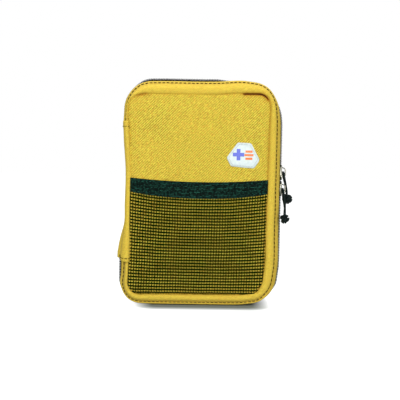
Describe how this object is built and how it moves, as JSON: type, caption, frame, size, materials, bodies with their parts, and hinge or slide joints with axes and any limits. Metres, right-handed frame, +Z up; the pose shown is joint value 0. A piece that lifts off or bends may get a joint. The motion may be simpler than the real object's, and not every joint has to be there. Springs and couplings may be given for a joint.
{
  "type": "first aid kit",
  "caption": "Soft zip-round first aid pouch that opens like a book, with a net pocket and patch on its front, cord zipper pulls, and filled pockets and loops inside.",
  "frame": {"origin": "on the surface it stands on, under the middle of the pouch's box without the pull cords", "axes": "+Z up, the front with the net pocket faces -Y, the zipper sliders are at +X and the spine is at -X"},
  "size_m": [0.1803, 0.059, 0.231],
  "materials": {
    "canvas": "matte",
    "canvas_strip": "matte",
    "zip_tape": "matte",
    "zip_coil": "satin",
    "net": "matte",
    "elastic": "matte",
    "patch": "matte",
    "slider_metal": "polished",
    "cord": "matte",
    "lining": "matte",
    "inner_net": "matte",
    "bandage": "matte",
    "gauze": "matte",
    "tape_cloth": "satin",
    "card": "matte",
    "steel": "satin",
    "paper_pack": "matte",
    "foil": "polished",
    "glove_film": "glossy",
    "wipe_film": "glossy"
  },
  "bodies": {
    "back_shell": {"back_panel": "canvas", "back_border": "canvas_strip", "back_zip_tape": "zip_tape", "back_zip_chain": "zip_coil", "spine_back": "canvas", "back_lining": "lining", "back_pocket": "inner_net", "back_pocket_binding": "elastic", "elastic_strap": "elastic", "bandage_roll_large": "bandage", "bandage_roll_small": "gauze", "tape_roll": "tape_cloth", "tape_core": "card", "tweezers": "steel", "dressing_pack": "paper_pack", "rescue_blanket": "foil"},
    "cover": {"front_panel": "canvas", "front_border": "canvas_strip", "front_zip_tape": "zip_tape", "front_zip_chain": "zip_coil", "spine_front": "canvas", "front_lining": "lining", "cover_pocket": "inner_net", "cover_pocket_binding": "elastic", "glove_pack": "glove_film", "wipe_packs": "wipe_film", "plaster_packs": "paper_pack", "net_pocket": "net", "pocket_band": "elastic", "patch": "patch"},
    "upper_slider": {"upper_slider": "slider_metal"},
    "upper_pull": {"upper_cord": "cord", "upper_knot": "cord"},
    "lower_slider": {"lower_slider": "slider_metal"},
    "lower_pull": {"lower_cord": "cord", "lower_knot": "cord"}
  },
  "joints": [
    {"name": "cover_hinge", "type": "hinge", "parent": "back_shell", "child": "cover", "pos_m": [-0.0865, 0.0035, 0.1165], "axis": [0, 0, -1], "range_deg": [0, 175]},
    {"name": "upper_slide", "type": "slide", "parent": "back_shell", "child": "upper_slider", "axis": [0, 0, 1], "range_m": [0, 0.05]},
    {"name": "lower_slide", "type": "slide", "parent": "back_shell", "child": "lower_slider", "axis": [0, 0, -1], "range_m": [0, 0.075]},
    {"name": "upper_pull_swing", "type": "hinge", "parent": "upper_slider", "child": "upper_pull", "pos_m": [0.0832, 0.0035, 0.1375], "axis": [0, -1, 0], "range_deg": [0, 140]},
    {"name": "lower_pull_swing", "type": "hinge", "parent": "lower_slider", "child": "lower_pull", "pos_m": [0.0832, 0.0035, 0.1201], "axis": [0, -1, 0], "range_deg": [0, 100]}
  ]
}
